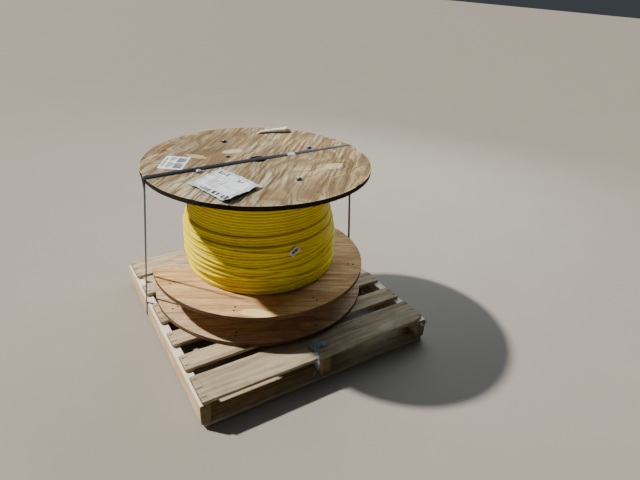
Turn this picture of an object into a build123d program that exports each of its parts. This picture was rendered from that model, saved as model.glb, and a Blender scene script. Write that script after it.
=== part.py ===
from build123d import *
import os
from math import asin, cos, degrees, hypot, radians, sin, sqrt

# Three-flange plywood cable reel, standing on end and strapped to a stringer pallet.
# Millimetres, +Z up. The origin is on the floor at the centre of the outline in plan.
# X runs along the deck boards and Y along the stringers, from the front edge to the back.
# The reel stands a little left of the pallet's middle and nearer the back edge, which it overhangs.

# Reel
flange_diameter = 914.0
ply_thickness = 18.0
winding_width = 430.0        # clear height between the top and middle flanges
chamber_height = 104.0       # clear height between the middle and bottom flanges
barrel_diameter = 567.0
barrel_wall = 9.0
barrel_groove_depth = 6.0    # how far a barrel's end is let into a flange
arbor_diameter = 70.0
drive_hole_diameter = 20.0
drive_hole_radius = 123.0    # from the arbor's centre
drive_hole_angle = 144.6

# Tail holes: small holes in pairs along radii near each rim, where the cable's end is tied
tail_hole_diameter = 7.0
tail_hole_pair_count = 8
tail_hole_angle = 6.5        # of the first pair, from +X
tail_hole_radius = 397.0     # of the inner ring
tail_hole_spacing = 22.0     # from the inner ring to the outer

# Notch cut in the middle flange from its rim down to the barrel, to pass the cable's inner end
notch_angle = 135.0          # of its middle, from +X
notch_rim_width = 470.0      # across its mouth, between the two corners
notch_side_slope = 18.3      # of each side to the notch's middle line, in degrees
notch_corner_round = 16.0
notch_barrel_margin = 8.0    # of ply left outside the barrel

# Tie bolts through all three flanges, inside the barrels
bolt_count = 4
bolt_diameter = 10.0
bolt_barrel_gap = 3.5        # between a bolt and the barrel's inner face
bolt_angle = 9.0
bolt_hole_diameter = 11.0
bolt_end_above_nut = 2.5
bolt_head_height = 6.5
bolt_head_inset = 1.5        # of the head, above the flange's underside
nut_across_flats = 17.0      # and across those of the bolt's head
nut_height = 8.0
washer_diameter = 36.0
washer_thickness = 2.5

# Cable
cable_diameter = 12.2
ridge_layers = [3.0, 3.5, 3.3, 2.3, 1.0, 1.0, 1.0]    # layers of turns in each ridge, from the bottom
winding_top_gap = 2.0

# Pallet
pallet_length = 1000.0       # along the stringers
pallet_width = 998.0         # over the outer stringers
stringer_width = 38.0
stringer_height = 89.0
board_thickness = 16.0
board_end_setback = 10.0     # of a board's end from the stringer's outer face
deck_board_widths = [133.0, 82.0, 82.0, 136.0, 80.0, 139.0]      # from the front
deck_gap_shares = [0.118, 0.193, 0.215, 0.247, 0.227]            # of the length that the boards leave free
bottom_board_widths = [133.0, 134.0, 133.0]
bottom_gap_shares = [0.5, 0.5]
reel_overhang = 26.0         # of the flanges beyond the back ends of the stringers
reel_shift = -11.0           # of the reel's axis from the middle stringer, to the left

# Strap round the reel and the pallet, and its crimped seal
strap_width = 16.0
strap_thickness = 0.9
strap_top_left = -32.0       # of its middle line at the left rim, behind the reel's axis
strap_top_right = 6.0
strap_low_left = 131.0       # of its middle line under the left stringer, behind the middle bottom board
strap_low_right = 22.0
strap_slant_left = 33.0      # how much nearer the front it crosses the left stringer's top edge
seal_length = 34.0
seal_sheet = 0.8
seal_position = 146.0        # of its middle, right of the reel's axis

# Packing-list pouch on the top flange
pouch_length = 228.0
pouch_width = 178.0
pouch_thickness = 3.0
pouch_centre = (-222.0, -190.0)
pouch_angle = -72.3

# Bolt and tail holes of the two lower flanges have a few flat sides, because there are so many
lower_hole_sides = 8

# Clearances
fit_gap = 0.3
thread_gap = 0.05            # between a nut's plain bore and the bolt

# Derived sizes and places
flange_radius = flange_diameter / 2
barrel_radius = barrel_diameter / 2
bolt_circle_radius = barrel_radius - barrel_wall - bolt_barrel_gap - bolt_diameter / 2
hexagon_radius = nut_across_flats / sqrt(3)
total_depth = pallet_length + reel_overhang
front_y = -total_depth / 2
axis_x = reel_shift
axis_y = total_depth / 2 - flange_radius
stringer_bottom = board_thickness
deck_bottom = stringer_bottom + stringer_height
deck_top = deck_bottom + board_thickness
bottom_flange_top = deck_top + ply_thickness
middle_flange_bottom = bottom_flange_top + chamber_height
middle_flange_top = middle_flange_bottom + ply_thickness
top_flange_bottom = middle_flange_top + winding_width
reel_top = top_flange_bottom + ply_thickness
stringer_face = pallet_width / 2


def on_reel(x, y, z):
    """A place given from the reel's axis, as a location in the part's frame."""
    return Location((axis_x + x, axis_y + y, z))


def cylinder(radius, bottom, top, x=0.0, y=0.0):
    """Upright cylinder between two heights, placed from the reel's axis."""
    base = (Align.CENTER, Align.CENTER, Align.MIN)
    return on_reel(x, y, bottom) * Cylinder(radius, top - bottom, align=base)


def tube(outer, inner, bottom, top):
    return cylinder(outer, bottom, top) - cylinder(inner, bottom, top)


def around(radius, count, first_angle):
    """Points on a circle about the reel's axis, evenly spaced."""
    steps = [radians(first_angle + 360 / count * i) for i in range(count)]
    return [(radius * cos(a), radius * sin(a)) for a in steps]


def board(x_size, y_size, z_size, x, y, z):
    """Box with its middle at x, its front face at y and its underside at z."""
    return Location((x, y, z)) * Box(x_size, y_size, z_size, align=(Align.CENTER, Align.MIN, Align.MIN))


def prism(radius, sides, bottom, top, x, y):
    """Upright prism with a flat facing the front, placed from the reel's axis."""
    return on_reel(x, y, bottom) * extrude(RegularPolygon(radius, sides), amount=top - bottom)


def hole(diameter, bottom, top, x, y, sides=None):
    """Round hole, or one with a few flat sides that clears the same diameter."""
    if sides:
        return prism(diameter / 2 / cos(radians(180 / sides)), sides, bottom, top, x, y)
    return cylinder(diameter / 2, bottom, top, x, y)


def barrel_groove(bottom, top):
    return tube(barrel_radius + fit_gap, barrel_radius - barrel_wall - fit_gap, bottom, top)


def flange_blank(outline, bottom, hole_sides=None):
    """Plywood sawn to an outline, with its arbor hole, bolt holes and tail holes."""
    top = bottom + ply_thickness
    blank = on_reel(0, 0, bottom) * extrude(outline, amount=ply_thickness)
    holes = [cylinder(arbor_diameter / 2, bottom, top)]
    holes += [hole(bolt_hole_diameter, bottom, top, x, y, hole_sides) for x, y in bolt_places]
    holes += [hole(tail_hole_diameter, bottom, top, x, y, hole_sides) for x, y in tail_hole_places]
    return blank - holes


def drive_hole(bottom):
    a = radians(drive_hole_angle)
    x, y = drive_hole_radius * cos(a), drive_hole_radius * sin(a)
    return cylinder(drive_hole_diameter / 2, bottom, bottom + ply_thickness, x, y)


def top_flange():
    """Has the grooved seat of the barrel below and the washers let in flush above."""
    blank = flange_blank(Circle(flange_radius), top_flange_bottom)
    groove = barrel_groove(top_flange_bottom, top_flange_bottom + barrel_groove_depth)
    seats = [cylinder(washer_diameter / 2 + fit_gap, reel_top - washer_thickness, reel_top, x, y)
             for x, y in bolt_places]
    return blank - [groove, drive_hole(top_flange_bottom)] - seats


def notch_outline():
    """The notch as a closed outline: two sloping sides, an arc round the barrel and a mouth past the rim."""
    inner = barrel_radius + notch_barrel_margin
    half = notch_rim_width / 2
    slope = radians(notch_side_slope)
    side = Vector(-cos(slope), -sin(slope))
    corner = Vector(sqrt(flange_radius ** 2 - half ** 2), half)
    # where the side's line meets the arc round the barrel
    along = corner.dot(side)
    reach = -along - sqrt(along ** 2 - (corner.dot(corner) - inner ** 2))
    foot = corner + side * reach
    past = corner - side * (flange_radius / 4)
    foot_mirror, past_mirror = Vector(foot.X, -foot.Y), Vector(past.X, -past.Y)
    with BuildSketch() as sketch:
        with BuildLine():
            Line(past, foot)
            ThreePointArc(foot, (inner, 0), foot_mirror)
            Line(foot_mirror, past_mirror)
            Line(past_mirror, past)
        make_face()
    return sketch.sketch


def middle_flange():
    """Grooved on both faces for the two barrels, with the notch for the cable's inner end."""
    outline = Circle(flange_radius) - Rot(0, 0, notch_angle) * notch_outline()
    rim_corners = [v for v in outline.vertices() if is_notch_corner(v)]
    outline = fillet(rim_corners, notch_corner_round)
    grooves = [barrel_groove(middle_flange_bottom, middle_flange_bottom + barrel_groove_depth),
               barrel_groove(middle_flange_top - barrel_groove_depth, middle_flange_top)]
    return flange_blank(outline, middle_flange_bottom, lower_hole_sides) - grooves


def is_notch_corner(vertex):
    """True at the two corners where the notch's sides meet the rim."""
    on_rim = abs(hypot(vertex.X, vertex.Y) - flange_radius) < 0.01
    off_seam = hypot(vertex.X - flange_radius, vertex.Y) > 1
    return on_rim and off_seam


def bottom_flange():
    """Has the seat of the lower barrel above and the hexagon heads sunk in its underside."""
    groove = barrel_groove(bottom_flange_top - barrel_groove_depth, bottom_flange_top)
    sink_top = deck_top + bolt_head_inset + bolt_head_height
    sinks = [prism(hexagon_radius + fit_gap, 6, deck_top, sink_top, x, y) for x, y in bolt_places]
    blank = flange_blank(Circle(flange_radius), deck_top, lower_hole_sides)
    return blank - [groove, drive_hole(deck_top)] - sinks


def barrel(bottom, top):
    """Tube that stands in the groove below and stops just short of the floor of the one above."""
    low = bottom - barrel_groove_depth
    high = top + barrel_groove_depth - fit_gap
    return tube(barrel_radius, barrel_radius - barrel_wall, low, high)


def cable_winding():
    """All the turns as one turned solid. Each of its ridges stands for five turns of the outermost layer."""
    inner = barrel_radius + fit_gap
    layer_pitch = cable_diameter * sqrt(3) / 2
    height = winding_width - winding_top_gap
    ridge_height = height / len(ridge_layers)
    chamfer = cable_diameter / 2
    crests = [inner + cable_diameter + layer_pitch * (layers - 1) for layers in ridge_layers]
    valleys = [min(pair) - chamfer for pair in zip(crests[:1] + crests, crests + crests[-1:])]
    outline = [(inner, 0), (valleys[0], 0)]
    for i, crest in enumerate(crests):
        low, high = ridge_height * i, ridge_height * (i + 1)
        outline += [(crest, low + chamfer), (crest, high - chamfer), (valleys[i + 1], high)]
    outline.append((inner, height))
    with BuildSketch(Plane.XZ) as section:
        with BuildLine():
            Polyline(*outline, close=True)
        make_face()
    return on_reel(0, 0, middle_flange_top) * revolve(section.sketch, Axis.Z, 360)


def tie_bolts():
    """Hexagon bolts, their heads sunk in the bottom flange."""
    head_bottom = deck_top + bolt_head_inset
    head_top = head_bottom + bolt_head_height
    shank_top = reel_top + nut_height + bolt_end_above_nut
    bolts = []
    for x, y in bolt_places:
        head = prism(hexagon_radius, 6, head_bottom, head_top, x, y)
        shank = cylinder(bolt_diameter / 2, head_top, shank_top, x, y)
        bolts.append(head + shank)
    return bolts


def tie_washers():
    low = reel_top - washer_thickness
    return [cylinder(washer_diameter / 2, low, reel_top, x, y)
            - cylinder(bolt_hole_diameter / 2, low, reel_top, x, y) for x, y in bolt_places]


def tie_nuts():
    """Hexagon nuts, bored a hair over the bolt in place of the thread."""
    nut_top = reel_top + nut_height
    bore = bolt_diameter / 2 + thread_gap
    return [prism(hexagon_radius, 6, reel_top, nut_top, x, y) - cylinder(bore, reel_top, nut_top, x, y)
            for x, y in bolt_places]


def strap_route():
    """Corners of the strap's inner loop, clockwise from the left rim: x, its middle line's y, and z."""
    reach_left = rim_reach(strap_top_left)
    reach_right = rim_reach(strap_top_right)
    left_face = -stringer_face - fit_gap - axis_x
    right_face = stringer_face + fit_gap - axis_x
    low_left = bottom_board_back + strap_low_left - axis_y
    low_right = bottom_board_back + strap_low_right - axis_y
    return [(-reach_left, strap_top_left, reel_top), (reach_right, strap_top_right, reel_top),
            (right_face, low_right, deck_bottom), (right_face, low_right, stringer_bottom),
            (left_face, low_left, stringer_bottom), (left_face, low_left - strap_slant_left, deck_bottom)]


def rim_reach(y):
    """Half the chord of the rim nearest the axis within the strap's width at y, and a clearance."""
    near = max(0.0, abs(y) - strap_width / 2)
    return sqrt(flange_radius ** 2 - near ** 2) + fit_gap


def strap_corners(route):
    """At each corner of the route: inner front, inner back, outer back and outer front points."""
    corners = []
    for i, (x, y, z) in enumerate(route):
        before, after = route[i - 1], route[(i + 1) % len(route)]
        arrive = Vector(x - before[0], z - before[2]).normalized()
        leave = Vector(after[0] - x, after[2] - z).normalized()
        # outward normals of the two runs that meet here, on a loop that goes clockwise
        n1, n2 = Vector(-arrive.Y, arrive.X), Vector(-leave.Y, leave.X)
        mitre = (n1 + n2) * (strap_thickness / (1 + n1.dot(n2)))
        outward = Vector(mitre.X, 0, mitre.Y)
        middle = Vector(axis_x + x, axis_y + y, z)
        half = Vector(0, strap_width / 2, 0)
        corners.append([middle - half, middle + half, middle + half + outward, middle - half + outward])
    return corners


def strap():
    """Closed steel band, folded over the rim of the top flange and the corners of the outer stringers."""
    corners = strap_corners(strap_route())
    faces = []
    for i, (front_in, back_in, back_out, front_out) in enumerate(corners):
        last_front_in, last_back_in, last_back_out, last_front_out = corners[i - 1]
        outlines = [(last_front_in, last_back_in, back_in, front_in),
                    (last_front_out, front_out, back_out, last_back_out),
                    (last_front_in, front_in, front_out), (last_front_in, front_out, last_front_out),
                    (last_back_in, last_back_out, back_out), (last_back_in, back_out, back_in)]
        faces += [Face(Wire.make_polygon(outline)) for outline in outlines]
    return Solid(Shell(faces))


def strap_seal():
    """Sheet clip folded down on both sides of the strap."""
    left, right = strap_route()[0], strap_route()[1]
    share = (seal_position - left[0]) / (right[0] - left[0])
    middle_y = left[1] + share * (right[1] - left[1])
    slant = degrees(asin((right[1] - left[1]) / hypot(right[0] - left[0], right[1] - left[1])))
    base = (Align.CENTER, Align.CENTER, Align.MIN)
    inner_width = strap_width + 2 * fit_gap
    outside = Box(seal_length, inner_width + 2 * seal_sheet, strap_thickness + seal_sheet, align=base)
    inside = Box(seal_length, inner_width, strap_thickness, align=base)
    return on_reel(seal_position, middle_y, reel_top) * Rot(0, 0, slant) * (outside - inside)


def document_pouch():
    """Flat closed form of the packing-list pouch, glued to the top flange."""
    base = (Align.CENTER, Align.CENTER, Align.MIN)
    sheet = Box(pouch_length, pouch_width, pouch_thickness, align=base)
    return on_reel(*pouch_centre, reel_top) * Rot(0, 0, pouch_angle) * sheet


def stringer(x):
    return board(stringer_width, pallet_length, stringer_height, x, front_y, stringer_bottom)


def board_places(widths, gap_shares):
    """Front edge and width of each board: the first and last are flush with the stringers' ends."""
    free = pallet_length - sum(widths)
    gaps = [free * share / sum(gap_shares) for share in gap_shares]
    fronts = [front_y + sum(widths[:i]) + sum(gaps[:i]) for i in range(len(widths))]
    return list(zip(fronts, widths))


def cross_board(front, width, bottom):
    """Board across the stringers, a little short of their outer faces."""
    length = pallet_width - 2 * board_end_setback
    return board(length, width, board_thickness, 0, front, bottom)


def write(name, shape):
    solids = shape if isinstance(shape, list) else shape.solids()
    solid_list = [s for item in solids for s in item.solids()]
    whole = solid_list[0] if len(solid_list) == 1 else Compound(children=solid_list)
    export_step(whole, f"parts/{name}.step")


bolt_places = around(bolt_circle_radius, bolt_count, bolt_angle)
tail_hole_places = around(tail_hole_radius, tail_hole_pair_count, tail_hole_angle)
tail_hole_places += around(tail_hole_radius + tail_hole_spacing, tail_hole_pair_count, tail_hole_angle)
deck_places = board_places(deck_board_widths, deck_gap_shares)
bottom_places = board_places(bottom_board_widths, bottom_gap_shares)
bottom_board_back = sum(bottom_places[1])

os.makedirs("parts", exist_ok=True)
write("top_flange", top_flange())
write("middle_flange", middle_flange())
write("bottom_flange", bottom_flange())
write("winding_barrel", barrel(middle_flange_top, top_flange_bottom))
write("chamber_barrel", barrel(bottom_flange_top, middle_flange_bottom))
write("cable_winding", cable_winding())
write("tie_bolts", tie_bolts())
write("tie_washers", tie_washers())
write("tie_nuts", tie_nuts())
write("strap", strap())
write("strap_seal", strap_seal())
write("document_pouch", document_pouch())
stringer_x = stringer_face - stringer_width / 2
write("stringer_left", stringer(-stringer_x))
write("stringer_middle", stringer(0))
write("stringer_right", stringer(stringer_x))
for number, (front, width) in enumerate(deck_places, start=1):
    write(f"deck_board_{number}", cross_board(front, width, deck_bottom))
for number, (front, width) in enumerate(bottom_places, start=1):
    write(f"bottom_board_{number}", cross_board(front, width, 0))
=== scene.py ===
from math import cos, pi, radians, sin, sqrt, tau

import bmesh
import bpy
import numpy as np
from mathutils import Matrix, Vector
from mathutils.geometry import delaunay_2d_cdt


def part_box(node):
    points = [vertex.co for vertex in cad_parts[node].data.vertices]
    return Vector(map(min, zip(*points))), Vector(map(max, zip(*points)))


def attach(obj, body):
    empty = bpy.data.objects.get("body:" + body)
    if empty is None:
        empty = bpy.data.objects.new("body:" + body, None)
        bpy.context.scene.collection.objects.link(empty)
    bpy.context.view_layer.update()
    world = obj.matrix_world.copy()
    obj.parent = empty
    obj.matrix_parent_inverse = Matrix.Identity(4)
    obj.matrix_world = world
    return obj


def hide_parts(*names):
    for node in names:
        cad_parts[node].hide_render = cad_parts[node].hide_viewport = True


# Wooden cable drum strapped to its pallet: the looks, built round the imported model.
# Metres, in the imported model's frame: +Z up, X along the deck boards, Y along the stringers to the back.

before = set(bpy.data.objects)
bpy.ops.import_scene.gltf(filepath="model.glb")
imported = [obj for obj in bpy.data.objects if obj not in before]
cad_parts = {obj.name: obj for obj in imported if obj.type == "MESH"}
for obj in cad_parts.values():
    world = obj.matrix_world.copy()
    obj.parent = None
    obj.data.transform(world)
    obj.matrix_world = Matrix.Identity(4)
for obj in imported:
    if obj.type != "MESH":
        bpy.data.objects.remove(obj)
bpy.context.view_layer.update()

MM = 0.001


def box_of(node):
    """Lowest and highest corner of a CAD node, as arrays."""
    low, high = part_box(node)
    return np.array(low), np.array(high)


def span_of(node, axis=2):
    """Lowest and highest place of a CAD node along an axis, its height if none is named."""
    low, high = box_of(node)
    return low[axis], high[axis]


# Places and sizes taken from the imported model
flange_low, flange_high = box_of("top_flange")
axis_x, axis_y = (flange_low[:2] + flange_high[:2]) / 2
flange_radius = (flange_high[0] - flange_low[0]) / 2
top_flange_bottom, reel_top = span_of("top_flange")
middle_top = span_of("middle_flange")[1]
barrel_left, barrel_right = span_of("winding_barrel", 0)
barrel_radius = (barrel_right - barrel_left) / 2
winding_height = span_of("cable_winding")[1] - middle_top
stringer_x = sum(span_of("stringer_right", 0)) / 2
stringer_bottom, stringer_top = span_of("stringer_left")
deck_top = span_of("deck_board_1")[1]
deck_front = span_of("deck_board_1", 1)[0]

# Sizes that the surfaces below share with the solids
cable_diameter = 12.2 * MM
cable_radius = cable_diameter / 2
layer_pitch = cable_diameter * sqrt(3) / 2
layer_radii = [barrel_radius + 0.3 * MM + cable_radius + layer_pitch * k for k in range(3)]
bolt_circle_radius = 266 * MM
bolt_radius = 5 * MM
nut_across_flats = 17 * MM
bolt_angles = [radians(9 + 90 * i) for i in range(4)]
tail_hole_angles = [radians(6.5 + 45 * i) for i in range(8)]
tail_hole_radii = (397 * MM, 419 * MM)
notch_angle = radians(135)
notch_half_width = 0.235
notch_slope = radians(18.3)          # of each side, from the notch's middle line
notch_to_barrel = 8 * MM
notch_corner = 11 * MM               # how far the round of its corners reaches

to_camera = radians(-115)            # direction from the reel's axis to the photograph's camera


# Grids, lines and noise

def grid_quads(rows, columns, round_rows=False, round_columns=False):
    """The four corners of every cell of a grid of points, wrapping where the grid closes on itself."""
    i, j = np.meshgrid(np.arange(rows - (not round_rows)), np.arange(columns - (not round_columns)),
                       indexing="ij")
    i2, j2 = (i + 1) % rows, (j + 1) % columns
    corners = [i * columns + j, i * columns + j2, i2 * columns + j2, i2 * columns + j]
    return np.stack(corners, -1).reshape(-1, 4)


def carried(stations, around, closed=False):
    """Faces of a closed section carried along a path. The path closes on itself, or each end gets a face."""
    faces = grid_quads(stations, around, closed, True).tolist()
    if closed:
        return faces
    last = (stations - 1) * around
    return faces + [list(range(around)), list(range(last, last + around))]


def full_turn(count):
    """Angles in even steps round a circle."""
    return np.linspace(0, tau, count, endpoint=False)


def circle(radius, angles, x=0.0, y=0.0):
    """Points in the plane at some angles of a circle."""
    return np.stack([x + radius * np.cos(angles), y + radius * np.sin(angles)], -1)


def ring(radius, count, x=0.0, y=0.0):
    """Points in the plane in even steps round a circle, anticlockwise."""
    return circle(radius, full_turn(count), x, y)


def polar(radius, angle):
    """Place in the plane at a distance and a direction."""
    return radius * cos(angle), radius * sin(angle)


def about(x, y, reach, angle, z):
    """Points round an upright axis at x and y: how far out each lies, in which direction and how high."""
    return np.stack([x + reach * np.cos(angle), y + reach * np.sin(angle), np.full_like(angle, z)], -1)


def unit(vectors):
    """Vectors at length 1."""
    return vectors / np.maximum(np.linalg.norm(vectors, axis=-1, keepdims=True), 1e-9)


def along(corners, count):
    """Even steps along a line of straight runs: each step's place among the corners, and its point."""
    line = np.array(corners)
    at = np.linspace(0, len(line) - 1, count)
    return at, np.stack([np.interp(at, np.arange(len(line)), line[:, k]) for k in range(line.shape[1])], -1)


def unit_grid(columns, rows):
    """Two parameters from 0 to 1 over a grid: u along its rows and v from row to row."""
    return np.meshgrid(np.linspace(0, 1, columns), np.linspace(0, 1, rows))


def wander(t, seed, octaves=4, rate=1.0):
    """Smooth random line within about -1 to 1: sines of t, each twice as fast and half as high as the
    last."""
    phases = np.random.default_rng(seed).uniform(0, tau, octaves)
    return sum(np.sin(t * rate * 2 ** k + phases[k]) / 2 ** k for k in range(octaves)) / 1.6


def crumple(u, v, seed, folds=9):
    """Sharp-edged random relief, 0 to 1: the mean of triangle waves that run across (u, v) in random
    directions."""
    draw = np.random.default_rng(seed)
    total = np.zeros_like(u)
    for _ in range(folds):
        turn, rate, phase = draw.uniform(0, tau), draw.uniform(0.6, 2.6), draw.uniform(0, 1)
        ramp = (u * cos(turn) + v * sin(turn)) * rate + phase
        total += np.abs((ramp % 1) * 2 - 1)
    return total / folds


def join(parts):
    """Several (points, faces) pairs as one."""
    points, faces, start = [], [], 0
    for some_points, some_faces in parts:
        points.append(np.asarray(some_points, float).reshape(-1, 3))
        faces += [[start + int(k) for k in face] for face in some_faces]
        start += len(points[-1])
    return np.concatenate(points), faces


def shown(name, data):
    """A new object in the scene."""
    made = bpy.data.objects.new(name, data)
    bpy.context.scene.collection.objects.link(made)
    return made


def piece(name, points, faces, finishes, slot, replaces=(), which=None, crisp=None, outward=True):
    """Mesh piece from an array of points and its faces. which gives each face's finish, by number. crisp
    is the angle in degrees past which an edge stays sharp under smooth shading."""
    mesh = bpy.data.meshes.new(name)
    points = np.asarray(points, float).reshape(-1, 3)
    mesh.from_pydata(points.tolist(), [], [list(map(int, face)) for face in faces])
    for finish in finishes if isinstance(finishes, list) else [finishes]:
        mesh.materials.append(finish)
    if which is not None:
        mesh.polygons.foreach_set("material_index", np.asarray(which, np.int32))
    work = bmesh.new()
    work.from_mesh(mesh)
    bmesh.ops.remove_doubles(work, verts=work.verts, dist=1e-6)
    if outward:
        bmesh.ops.recalc_face_normals(work, faces=work.faces)
    work.to_mesh(mesh)
    work.free()
    mesh.polygons.foreach_set("use_smooth", np.full(len(mesh.polygons), True))
    if crisp is not None:
        mesh.set_sharp_from_angle(angle=radians(crisp))
    mesh.update()
    made = shown(name, mesh)
    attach(made, "root")
    if replaces:
        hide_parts(*replaces)


# Materials

def colour(tone):
    """A colour given as seen on screen, each part 0 to 255, in linear light."""
    return tuple(((c / 255 + 0.055) / 1.055) ** 2.4 if c > 10 else c / 255 / 12.92 for c in tone)


def darker(tone, share):
    """A colour at a share of its light, or lighter with a share over 1."""
    return tuple(c * share for c in tone)


class Finish:
    """A material in the making: short calls for the nodes that it is wired from, and its shade so far."""

    def __init__(self, name, shade, **constants):
        self.material = bpy.data.materials.new(name)
        self.material.use_nodes = True
        self.tree = self.material.node_tree
        self.shader = self.tree.nodes["Principled BSDF"]
        for socket, value in constants.items():
            self.shader.inputs[socket.replace("_", " ")].default_value = value
        self.here = self.add("TexCoord").outputs["Object"]
        self.shade = shade

    def add(self, kind, inputs=None, **settings):
        """A new node with its settings, and its inputs plugged in."""
        made = self.tree.nodes.new("ShaderNode" + kind)
        for key, value in settings.items():
            setattr(made, key, value)
        for key, value in (inputs or {}).items():
            self.plug(made.inputs[key], value)
        return made

    def plug(self, socket, value):
        """Links a socket to another, or gives it a constant; a colour's fourth part is 1."""
        if isinstance(value, bpy.types.NodeSocket):
            self.tree.links.new(value, socket)
        else:
            socket.default_value = (*value, 1) if socket.type == "RGBA" else value

    def place(self, centre=(0, 0, 0), turn=0.0, stretch=(1, 1, 1)):
        """Object coordinates about a centre, turned about Z, then stretched."""
        moved = self.add("VectorMath", {0: self.here, 1: centre}, operation="SUBTRACT").outputs[0]
        if turn:
            moved = self.add("VectorRotate", {"Vector": moved, "Angle": -turn},
                             rotation_type="Z_AXIS").outputs[0]
        return self.add("VectorMath", {0: moved, 1: stretch}, operation="MULTIPLY").outputs[0]

    def part(self, axis):
        """One of the Object coordinates."""
        return self.add("SeparateXYZ", {0: self.here}).outputs[axis]

    def noise(self, vector, scale=1.0, detail=3.0, roughness=0.5, distortion=0.0):
        """Cloudy noise, about 0.5 on the whole."""
        inputs = {"Vector": vector, "Scale": scale, "Detail": detail, "Roughness": roughness,
                  "Distortion": distortion}
        return self.add("TexNoise", inputs).outputs["Fac"]

    def work_out(self, kind, a, b=0.0, c=0.0):
        """Result of one sum of Blender's Math node."""
        return self.add("Math", {0: a, 1: b, 2: c}, operation=kind).outputs[0]

    def times(self, a, b):
        """a multiplied by b."""
        return self.work_out("MULTIPLY", a, b)

    def less(self, a, b):
        """a less b."""
        return self.work_out("SUBTRACT", a, b)

    def plus(self, a, b, share=1.0):
        """a with a share of b added."""
        return self.work_out("MULTIPLY_ADD", b, share, a)

    def out_from(self, vector):
        """Length of a vector."""
        return self.add("VectorMath", {0: vector}, operation="LENGTH").outputs[1]

    def from_ellipse(self, x, y, length, width, lean):
        """Distance from the middle of an ellipse placed from the reel's axis, 1 on its outline. It leans
        by some degrees."""
        spot = self.place((axis_x + x, axis_y + y, 0), radians(lean), (1 / length, 1 / width, 0.0))
        return self.out_from(spot)

    def within(self, value, low, high, to_low=0.0, to_high=1.0):
        """Maps a span of values smoothly to another."""
        inputs = {"Value": value, "From Min": low, "From Max": high, "To Min": to_low, "To Max": to_high}
        return self.add("MapRange", inputs, interpolation_type="SMOOTHSTEP").outputs[0]

    def cover(self, tone, share):
        """Lays a colour over the shade so far, by a share."""
        made = self.add("Mix", {0: share, 6: self.shade, 7: tone}, data_type="RGBA")
        self.shade = made.outputs[2]

    def stain(self, tone, value, low, high, share=1.0):
        """Lays a colour over the shade so far: none where a value is at low, and a share of it from high
        on."""
        self.cover(tone, self.within(value, low, high, 0.0, share))

    def done(self, roughness, height=None, depth=0.0):
        """The finished material, with a relief of some depth or none."""
        self.plug(self.shader.inputs["Base Color"], self.shade)
        self.plug(self.shader.inputs["Roughness"], roughness)
        if height is not None:
            bump = self.add("Bump", {"Height": height, "Distance": depth})
            self.plug(self.shader.inputs["Normal"], bump.outputs[0])
        return self.material


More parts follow.
